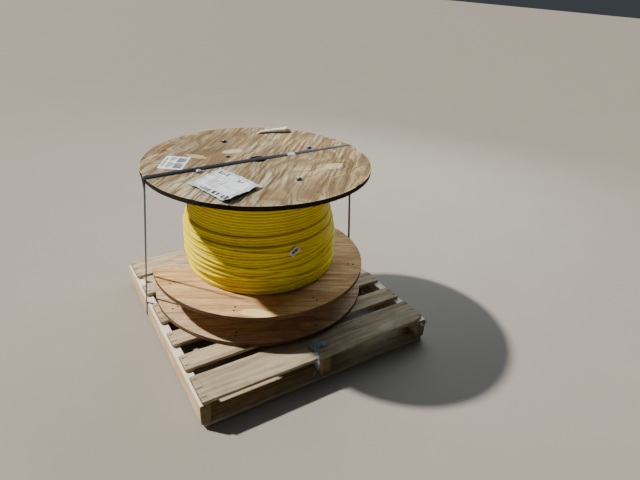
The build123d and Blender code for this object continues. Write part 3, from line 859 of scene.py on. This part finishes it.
def hexagon_nut(x, y):
    """A nut as one surface of angle and level: a hexagon clipped by a cone at the top, then down the
    bore."""
    low, high = reel_top, span_of("tie_nuts")[1]
    a = full_turn(72)
    cone_start = high - 1.7 * MM
    rows = []
    for z in (low, cone_start, high - 1.1 * MM, high - 0.5 * MM, high):
        cone = nut_across_flats / 2 * 1.165 - max(0.0, z - cone_start) * 1.5
        rows.append(about(x, y, np.minimum(hexagon(a), cone), a, z))
    for radius, z in ((6.2 * MM, high), (5.1 * MM, high - 0.8 * MM), (5.1 * MM, low)):
        rows.append(about(x, y, radius, a, z))
    return np.concatenate(rows), grid_quads(len(rows), len(a), True, True)


def dished_washer(x, y):
    """A washer that the nut has drawn into a shallow dish, with rounded rims: a profile turned about the
    bolt."""
    low, high = span_of("tie_washers")[0], reel_top
    a = full_turn(64)
    profile = [(5.5, low), (17.2, low), (18.0, low + 0.8 * MM), (18.0, high - 0.6 * MM), (17.4, high),
               (13.0, high - 0.7 * MM), (5.5, high - 1.0 * MM)]
    rows = [about(x, y, radius * MM, a, z) for radius, z in profile]
    return np.concatenate(rows), grid_quads(len(rows), len(a), True, True)


def tie_bolt(x, y):
    """A bolt as one surface of angle and level: a hexagon head at the bottom, a plain shank, and a thread
    whose ridge climbs one pitch a turn."""
    bottom, top = span_of("tie_bolts")
    head_top = bottom + 6.5 * MM
    thread_start = top_flange_bottom + 6 * MM
    pitch = 1.5 * MM
    a = full_turn(36)
    rows = [about(x, y, 0.6 * hexagon(a), a, bottom), about(x, y, hexagon(a), a, bottom),
            about(x, y, hexagon(a), a, head_top), about(x, y, bolt_radius, a, head_top)]
    rows += [about(x, y, bolt_radius, a, z) for z in np.linspace(head_top + 1 * MM, thread_start, 12)]
    for z in np.linspace(thread_start + 0.2 * MM, top, 130):
        ridge = np.abs(((z / pitch - a / tau) % 1) * 2 - 1)
        tip = max(0.0, z - (top - 1.2 * MM)) * 0.8
        rows.append(about(x, y, bolt_radius * (0.89 + 0.1 * ridge) - tip, a, z))
    return np.concatenate(rows), carried(len(rows), len(a))


bolt_spots = [(axis_x + x, axis_y + y) for x, y in (polar(bolt_circle_radius, a) for a in bolt_angles)]
nuts = [hexagon_nut(*spot) for spot in bolt_spots]
# Right, back, left and front nut in turn. The back nut's dark rusty steel is partly painted shade, standing
# in for the dark hole it sits in.
nut_finish = np.repeat([1, 2, 0, 1], [len(faces) for _, faces in nuts])
piece("hexagon_nuts", *join(nuts), [bright_zinc, grimy_zinc, rusty_steel], "zinc_steel", ("tie_nuts",),
      nut_finish, crisp=28)
piece("dished_washers", *join([dished_washer(*spot) for spot in bolt_spots]), grimy_zinc, "zinc_steel",
      ("tie_washers",), crisp=40)
piece("threaded_bolts", *join([tie_bolt(*spot) for spot in bolt_spots]), bright_zinc, "zinc_steel",
      ("tie_bolts",), crisp=28)


# Strap

strap_width, strap_gauge = 16 * MM, 0.9 * MM
seal_middle, seal_length = axis_x + 146 * MM, 34 * MM
rim_reach = sqrt(flange_radius ** 2 - (24 * MM) ** 2) + 0.3 * MM
left_rim_y, right_rim_y = axis_y - 32 * MM, axis_y + 6 * MM
leg_left, leg_right = span_of("strap", 0)
middle_board_back = span_of("bottom_board_2", 1)[1]
right_leg_y = middle_board_back + 22 * MM
left_foot_y, left_leg_y = middle_board_back + 131 * MM, middle_board_back + 98 * MM


def strap_corners():
    """Where the strap bends, from the left rim over the reel and round the pallet."""
    left, right = leg_left + strap_gauge, leg_right - strap_gauge
    return np.array([(axis_x - rim_reach, left_rim_y, reel_top), (axis_x + rim_reach, right_rim_y, reel_top),
                     (right, right_leg_y, stringer_top), (right, right_leg_y, stringer_bottom),
                     (left, left_foot_y, stringer_bottom), (left, left_leg_y, stringer_top)])


def strap_path(bend=1.5 * MM):
    """The strap's closed way: straight runs between its corners, and a small curve at each corner."""
    corners = strap_corners()
    stretches = []
    for k, here in enumerate(corners):
        before, after = corners[k - 1], corners[(k + 1) % len(corners)]
        arrive, leave = unit(here - before), unit(after - here)
        stretches.append(rounded(here - bend * arrive, here, here + bend * leave, 7))
        stretches.append(np.linspace(here + bend * leave, after - bend * leave, 62)[1:-1])
    return np.concatenate(stretches)


def band(path, profile, closed):
    """A flat section carried along the strap's way. The section leans about the run, its front edge on
    the flange and its back edge lifted, most at the left and hardly at the right rim, as the strap is
    twisted."""
    ahead = unit(np.roll(path, -1, 0) - np.roll(path, 1, 0) if closed else np.gradient(path, axis=0))
    flat = unit(np.array([0, 1, 0]) - ahead * ahead[:, 1:2])
    outward = np.cross(ahead, flat)
    from_axis, height = path[:, 0] - axis_x, path[:, 2]
    over_reel = np.interp(from_axis, [-0.46, -0.30, 0.0, 0.15, 0.30, 0.44], [40, 44, 36, 22, 14, 0])
    left_leg = np.interp(height, [stringer_top, 0.66, reel_top - 2 * MM], [3, 9, 34])
    lean = np.where((height < reel_top - 2 * MM) & (from_axis < 0), left_leg, over_reel)
    lean = np.radians(np.where((height < stringer_top) | (from_axis > 0.45), 0, lean))[:, None]
    across = np.cos(lean) * flat + np.sin(lean) * outward
    facing = np.cos(lean) * outward - np.sin(lean) * flat
    foot = path + outward * (strap_width / 2 * np.sin(lean) + 0.1 * MM)
    rows = foot[:, None] + across[:, None] * profile[:, :1] + facing[:, None] * profile[:, 1:]
    return rows, carried(len(path), len(profile), closed)


def pinched_seal():
    """The seal: a sheet folded round the strap's two edges and crimped twice along it."""
    start, end = strap_corners()[:2]
    run = np.linspace(-0.5, 0.5, 61) * seal_length
    share = (seal_middle + run - start[0]) / (end[0] - start[0])
    profile = np.array([(-8.1, 0), (-8.1, 0.95), (8.1, 0.95), (8.1, 0), (8.9, 0), (8.9, 1.75), (-8.9, 1.75),
                        (-8.9, 0)]) * MM
    rows, faces = band(start + share[:, None] * (end - start), profile, False)
    middle = rows.mean(1, keepdims=True)
    pinch = sum(np.exp(-((run - at) / (2.0 * MM)) ** 2) for at in (-9 * MM, 9 * MM))
    return middle + (rows - middle) * (1 - 0.10 * pinch)[:, None, None] + [0, 0, 0.4 * MM], faces


strap_section = np.array([(-7.7, 0), (7.7, 0), (8, 0.2), (8, 0.7), (7.7, 0.9), (-7.7, 0.9), (-8, 0.7),
                          (-8, 0.2)]) * MM
piece("twisted_steel_strap", *band(strap_path(), strap_section, True), slate_strap, "strap_steel",
      ("strap",), crisp=35)
piece("pinched_seal", *pinched_seal(), bright_zinc, "zinc_steel", ("strap_seal",), crisp=35)


# Papers

def between_grids(under, over):
    """Points and faces of a sheet between two grids of points, closed round the border."""
    rows, columns = under.shape[:2]
    cells = grid_quads(rows, columns)
    start = rows * columns
    border = np.concatenate([np.arange(columns), np.arange(1, rows) * columns + columns - 1,
                             (rows - 1) * columns + np.arange(columns - 2, -1, -1),
                             np.arange(rows - 2, 0, -1) * columns])
    after = np.roll(border, -1)
    rim = np.stack([border, border + start, after + start, after], -1)
    points = np.concatenate([over.reshape(-1, 3), under.reshape(-1, 3)])
    return points, cells.tolist() + (cells[:, ::-1] + start).tolist() + rim.tolist()


def thickened(under, thickness):
    """A sheet between a grid of points and its copy raised by a thickness."""
    return between_grids(under, under + [0, 0, thickness])


def sheet_piece(name, sheet, finish):
    """A piece of paper, film or print, from its points and faces."""
    piece(name, *sheet, finish, "clear_film", crisp=60)


def patch(corners, u, v):
    """Points of the plane patch on the top flange between four corners, given in mm from the reel's axis."""
    a, b, c, d = (np.array([axis_x + x * MM, axis_y + y * MM, reel_top]) for x, y in corners)
    base = ((1 - u) * (1 - v))[..., None] * a + (u * (1 - v))[..., None] * b
    return base + (u * v)[..., None] * c + ((1 - u) * v)[..., None] * d


pouch_corners = [(-338, -147), (-184, -62), (-119, -276), (-278, -356)]
label_corners = [(-318, 176), (-237, 125), (-313, 3), (-390, 60)]


def on_pouch(u, v):
    """The pouch: folded papers make a flat rise in its middle, its film is crumpled round them, one side
    and the front corner curl up, and its outline is a little ragged."""
    papers = np.clip((0.40 - np.abs(u - 0.5)) / 0.05, 0, 1) * np.clip((0.40 - np.abs(v - 0.47)) / 0.05, 0, 1)
    rise = 0.4 * MM + 2.2 * MM * papers
    rise += 11.0 * MM * crumple(u * 1.9, v * 2.4, 31, 4) * (1 - 0.45 * papers)
    rise += 3.4 * MM * crumple(u * 4.0, v * 5.0, 37, 4)
    rise += 9 * MM * np.clip((v - 0.86) / 0.14, 0, 1) ** 1.6 * (1 - 0.8 * u)
    rise += 3 * MM * np.clip((u - 0.88) / 0.12, 0, 1) ** 1.6 * (1 - v)
    ragged_x = 3.5 * MM * wander(v * 7, 5, 3) * (2 * u - 1) ** 8
    ragged_y = 3.0 * MM * wander(u * 7, 6, 3) * (2 * v - 1) ** 8
    return patch(pouch_corners, u, v) + np.stack([ragged_x, ragged_y, rise], -1)


def on_label(u, v):
    """The label: a flat patch that barely lifts here and there."""
    points = patch(label_corners, u, v)
    points[..., 2] += 0.15 * MM + 0.25 * MM * (1 + wander(u * 5 + v * 3, 8))
    return points


def crumpled_pouch():
    """The pouch as a thin sheet, with bare film for each cell outside the papers."""
    columns, rows = 80, 110
    u, v = np.meshgrid(*((np.arange(count - 1) + 0.5) / (count - 1) for count in (columns, rows)))
    bare = ((np.abs(u - 0.5) > 0.405) | (np.abs(v - 0.47) > 0.41)).ravel()
    points, faces = thickened(on_pouch(*unit_grid(columns, rows)), 0.5 * MM)
    rim = np.ones(len(faces) - 2 * len(bare), bool)
    piece("crumpled_pouch", points, faces, [film_over_paper, bare_pouch_film], "clear_film",
          ("document_pouch",), np.concatenate([bare, bare, rim]).astype(int), crisp=24)


def bars(surface, block, count, upright, gap, seed, lift):
    """Generic printed bars on a sheet: a block's width is shared among bars of seeded widths, some of
    them cut short, and each is a thin strip that follows the sheet."""
    u0, u1, v0, v1 = block
    draw = np.random.default_rng(seed)
    widths = draw.uniform(0.4, 1.6, count)
    ends = np.cumsum(widths) / widths.sum()
    starts = np.concatenate([[0], ends[:-1]])
    reach = np.where(draw.uniform(0, 1, count) < 0.4, draw.uniform(0.45, 0.9, count), 1.0)
    made = []
    for low, high, share in zip(starts, ends, reach):
        low, high = low + gap * (high - low) / 2, high - gap * (high - low) / 2
        s, t = np.meshgrid(np.linspace(low, high, 2), np.linspace(0, share, 12))
        u = u0 + (s if upright else t) * (u1 - u0)
        v = v0 + (t if upright else s) * (v1 - v0)
        made.append(thickened(surface(u, v) + [0, 0, lift], 0.08 * MM))
    return made


def printed(name, surface, blocks, first_seed, lift, ink):
    """A sheet's print: blocks of bars, each with its sides on the sheet, its number of bars, whether they
    stand upright, and the share of their width that is left as gap."""
    made = []
    for seed, block in enumerate(blocks, first_seed):
        made += bars(surface, *block, seed, lift)
    sheet_piece(name, join(made), ink)


crumpled_pouch()
printed("pouch_print", on_pouch,
        [((0.050, 0.170, 0.16, 0.94), 11, False, 0.34), ((0.82, 0.94, 0.06, 0.32), 5, False, 0.35),
         ((0.24, 0.64, 0.20, 0.50), 7, False, 0.76), ((0.78, 0.88, 0.58, 0.72), 3, False, 0.25)],
        51, 0.55 * MM, dark_ink)
sheet_piece("shipping_label", thickened(on_label(*unit_grid(24, 24)), 0.25 * MM), label_paper)
printed("label_print", on_label,
        [((0.06, 0.17, 0.08, 0.86), 18, False, 0.35), ((0.25, 0.50, 0.06, 0.36), 5, True, 0.35),
         ((0.26, 0.52, 0.46, 0.90), 7, False, 0.40), ((0.56, 0.93, 0.08, 0.47), 12, False, 0.22),
         ((0.56, 0.93, 0.53, 0.92), 12, False, 0.22)],
        61, 0.3 * MM, print_ink)


def paper_roll():
    """A torn sheet rolled into a flattened roll. Its section, a creased ellipse, is carried from one end
    to the other. It starts as a point at the left and swells towards the open right end."""
    stations, around = 60, 40
    t, a = np.meshgrid(np.linspace(0, 1, stations), full_turn(around), indexing="ij")
    swell = np.interp(t, [0, 0.06, 0.3, 0.6, 0.86, 0.95, 1], [0.10, 0.45, 0.66, 0.85, 1.15, 0.85, 0.3])
    creased = swell * (0.8 + 0.45 * crumple(t * 3.0, a / tau * 2.0, 71, 7))
    wide, tall = 16 * MM * creased, 10.5 * MM * creased
    x = axis_x + 0.148 + 0.158 * t
    y = axis_y + 0.318 - 0.020 * t + 0.006 * np.sin(t * 5)
    points = np.stack([x + 0.12 * wide * np.cos(a), y + wide * np.cos(a),
                       reel_top + np.maximum(0.0, tall * (1 + np.sin(a)))], -1)
    return points, carried(stations, around)


piece("rolled_paper_scrap", *paper_roll(), rolled_paper, "clear_film", crisp=50)


def on_sticker(u, v):
    """The sticker wrapped on the outermost turns: the skew patch between four angles and heights, at a
    radius that dips a little between turns."""
    angle = radians(-88.99) + u * radians(3.16) + v * radians(-6.14)
    height = 206.3 * MM - 19.0 * MM * u - 23.8 * MM * v
    reach = layer_radii[2] + cable_diameter * 1.07 + 0.4 * MM * np.cos(height / cable_diameter * tau)
    return about(axis_x, axis_y, reach, angle, middle_top + height)


def sticker_sheet(u_range, v_range, count, proud=0.0):
    """A closed patch of the sticker's surface, standing proud of it along its radius."""
    under = on_sticker(*np.meshgrid(np.linspace(*u_range, count), np.linspace(*v_range, count * 2)))
    out = unit((under - [axis_x, axis_y, 0]) * [1, 1, 0])
    return between_grids(under + out * proud, under + out * (proud + 0.2 * MM))


sheet_piece("cable_sticker", sticker_sheet((0, 1), (0, 1), 14), label_paper)
sticker_bars = [sticker_sheet((0.22, 0.78), (0.10 + 0.1 * k, 0.155 + 0.1 * k + 0.02 * (k % 3)), 4, 0.25 * MM)
                for k in range(8)]
sheet_piece("sticker_print", join(sticker_bars), crack_shade_and_ink)


def film_strip(name, corners, widths, seed):
    """A torn ribbon of film through a few points: its width varies, its sides are ragged and it is
    crumpled. The points and half widths are in mm: along X, behind the deck's front edge and over the
    deck's top."""
    places = np.array(corners) * MM + [0, deck_front, deck_top]
    at, path = along(places, 60)
    padded = np.pad(path, ((3, 3), (0, 0)), mode="edge")
    path = np.stack([np.convolve(padded[:, k], np.ones(7) / 7, "valid") for k in range(3)], -1)
    ahead = np.gradient(path, axis=0)
    side = unit(np.stack([-ahead[:, 1], ahead[:, 0], np.zeros(len(at))], -1))
    half = np.interp(at, np.arange(len(places)), widths) * MM * (1 + 0.25 * wander(at * 7, seed, 4))
    v = np.linspace(-1, 1, 14)
    grid = path[:, None] + side[:, None] * half[:, None, None] * v[None, :, None]
    u_grid, v_grid = np.meshgrid(np.linspace(0, 4, len(at)), v, indexing="ij")
    grid[..., 2] += 6 * MM * crumple(u_grid, v_grid, seed + 1)
    sheet_piece(name, thickened(grid, 0.4 * MM), blue_film)


film_strip("torn_blue_film",
           [(-40, 78, 0), (-20, 60, 3), (-32, 34, 3), (-36, 12, 4), (-44, -8, -6), (-50, -13, -34),
            (-60, -12, -58), (-70, -9, -74)], [20, 18, 9, 5, 5, 6, 7, 3], 81)
film_strip("torn_film_corner", [(-12, 62, 0), (14, 52, 2), (34, 46, 0)], [8, 10, 3], 85)


def bent_tab():
    """A bent end of steel strip nailed to the right stringer's front end: a band folded twice. Its
    corners are in mm from the stringer's left front edge and from the floor."""
    (left, front, _), _ = box_of("stringer_right")
    corners = np.array([(8, 1, 100), (10, -4, 88), (24, -9, 84), (38, -7, 90), (33, -10, 103)]) * MM
    path = along(corners + [left, front, 0], 33)[1]
    up = np.array([4, -2, 10]) * MM
    return thickened(path[:, None] + up * np.linspace(-0.5, 0.5, 5)[None, :, None], 0.7 * MM)


piece("bent_strip_end", *bent_tab(), bright_zinc, "strap_steel", crisp=40)


# Finish of the CAD nodes that show as they are
for node in ("winding_barrel", "chamber_barrel"):
    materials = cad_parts[node].data.materials
    materials.clear()
    materials.append(barrel_face)


# Floor, light and camera

def pale_floor(half_size=30.0):
    """A plain pale floor: one wide square under the pallet."""
    corners = [(x * half_size, y * half_size, 0) for x, y in ((-1, -1), (1, -1), (1, 1), (-1, 1))]
    mesh = bpy.data.meshes.new("floor")
    mesh.from_pydata(corners, [], [(0, 1, 2, 3)])
    f = Finish("pale_floor", colour((150, 143, 134)))
    f.cover(colour((157, 150, 141)), f.noise(f.place(), 3.0, 3.0))
    mesh.materials.append(f.done(0.85))
    floor = shown("floor", mesh)


def lamp(name, kind, energy, tint, place, aim, **settings):
    """A light at a place, aimed at a point."""
    light = bpy.data.lights.new(name, kind)
    light.energy, light.color = energy, tint
    for setting, value in settings.items():
        setattr(light, setting, value)
    turn = (Vector(place) - Vector(aim)).to_track_quat("Z", "Y").to_matrix().to_4x4()
    shown(name, light).matrix_world = Matrix.Translation(place) @ turn


def studio():
    """The floor, a key from the back left, where the sun stands in the photograph, and two soft cool
    fills."""
    pale_floor()
    azimuth, elevation = radians(315), radians(46)
    sunwards = (sin(azimuth) * cos(elevation), cos(azimuth) * cos(elevation), sin(elevation))
    lamp("key", "SUN", 6.6, (1.0, 0.95, 0.87), sunwards, (0, 0, 0), angle=radians(2.5))
    cool = (0.80, 0.91, 1.0)
    middle = (axis_x, axis_y, 0.35)
    lamp("overhead", "AREA", 18.0, cool, (axis_x + 0.3, axis_y + 1.0, 3.4), middle, size=3.6)
    lamp("side_fill", "AREA", 48.0, cool, (axis_x + 1.75, axis_y + 1.20, 1.90), middle, size=2.4)
    world = bpy.data.worlds.new("studio")
    world.use_nodes = True
    sky = world.node_tree.nodes["Background"]
    sky.inputs["Color"].default_value = (0.78, 0.90, 1.0, 1)
    sky.inputs["Strength"].default_value = 0.06
    bpy.context.scene.world = world


def photograph_camera():
    """The camera where the photograph was taken, 1.38 m above the floor and looking down at the reel."""
    heading, pitch, roll = radians(32.95), radians(-28.54), radians(3.09)
    focal_length, picture_width = 490, 640       # both in pixels of the photograph
    place = (axis_x - 0.804, axis_y - 1.731, 1.380)
    forward = Vector((sin(heading) * cos(pitch), cos(heading) * cos(pitch), sin(pitch)))
    right = Vector((cos(heading), -sin(heading), 0))
    up = right.cross(forward)
    level_right = cos(roll) * right + sin(roll) * up
    level_up = -sin(roll) * right + cos(roll) * up
    data = bpy.data.cameras.new("camera")
    data.sensor_width = 36.0
    data.lens = focal_length / picture_width * data.sensor_width
    data.clip_start = 0.05
    camera = shown("camera", data)
    turn = Matrix((level_right, level_up, -forward)).transposed()
    camera.matrix_world = Matrix.Translation(place) @ turn.to_4x4()
    bpy.context.scene.camera = camera


studio()
photograph_camera()
